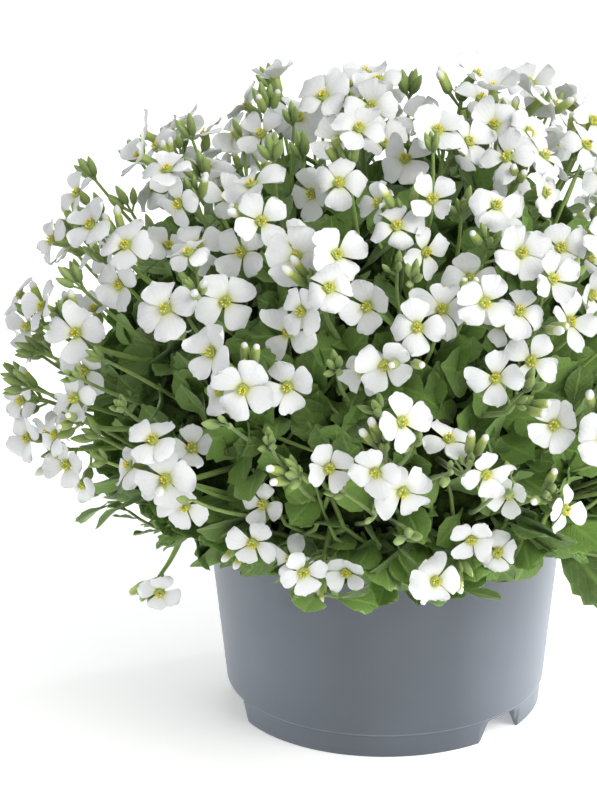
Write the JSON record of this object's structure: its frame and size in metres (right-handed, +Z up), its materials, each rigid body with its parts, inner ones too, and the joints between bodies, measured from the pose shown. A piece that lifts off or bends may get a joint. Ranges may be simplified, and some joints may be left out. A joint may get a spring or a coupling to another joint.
{
  "type": "potted aubrieta",
  "caption": "Low dome of toothed leaves and white four-petalled flowers on thin stalks, growing over the rim of a round, slightly tapered plastic nursery pot.",
  "frame": {"origin": "on the ground under the middle of the pot, at the middle of the plant's width and depth", "axes": "+Z up, the side that the picture shows faces -Y, +X to the right of it"},
  "size_m": [0.2697, 0.2758, 0.2354],
  "materials": {
    "pot_plastic": "satin blue-grey moulded plastic",
    "soil": "dark crumbly peat compost",
    "leaf": "matt, finely hairy mid-green leaves and stems",
    "petal": "soft white petals with a faint sheen, on yellow-green stalks"
  },
  "bodies": {
    "root": {"pot": "pot_plastic", "soil": "soil", "foliage": "leaf", "flower_head_01": "petal", "flower_head_02": "petal", "flower_head_03": "petal", "flower_head_04": "petal", "flower_head_05": "petal", "flower_head_06": "petal", "flower_head_07": "petal", "flower_head_08": "petal", "flower_head_09": "petal", "flower_head_10": "petal", "flower_head_11": "petal", "flower_head_12": "petal", "flower_head_13": "petal", "flower_head_14": "petal", "flower_head_15": "petal", "flower_head_16": "petal", "flower_head_17": "petal", "flower_head_18": "petal", "flower_head_19": "petal", "flower_head_20": "petal", "flower_head_21": "petal", "flower_head_22": "petal", "flower_head_23": "petal", "flower_head_24": "petal", "flower_head_25": "petal", "flower_head_26": "petal", "flower_head_27": "petal", "flower_head_28": "petal", "flower_head_29": "petal", "flower_head_30": "petal", "flower_head_31": "petal", "flower_head_32": "petal", "flower_head_33": "petal", "flower_head_34": "petal", "flower_head_35": "petal", "flower_head_36": "petal", "flower_head_37": "petal", "flower_head_38": "petal", "flower_head_39": "petal", "flower_head_40": "petal", "flower_head_41": "petal", "flower_head_42": "petal", "flower_head_43": "petal", "flower_head_44": "petal", "flower_head_45": "petal", "flower_head_46": "petal", "flower_head_47": "petal", "flower_head_48": "petal", "flower_head_49": "petal", "flower_head_50": "petal", "flower_head_51": "petal", "flower_head_52": "petal", "flower_head_53": "petal", "flower_head_54": "petal", "flower_head_55": "petal", "flower_head_56": "petal", "flower_head_57": "petal"}
  },
  "joints": []
}
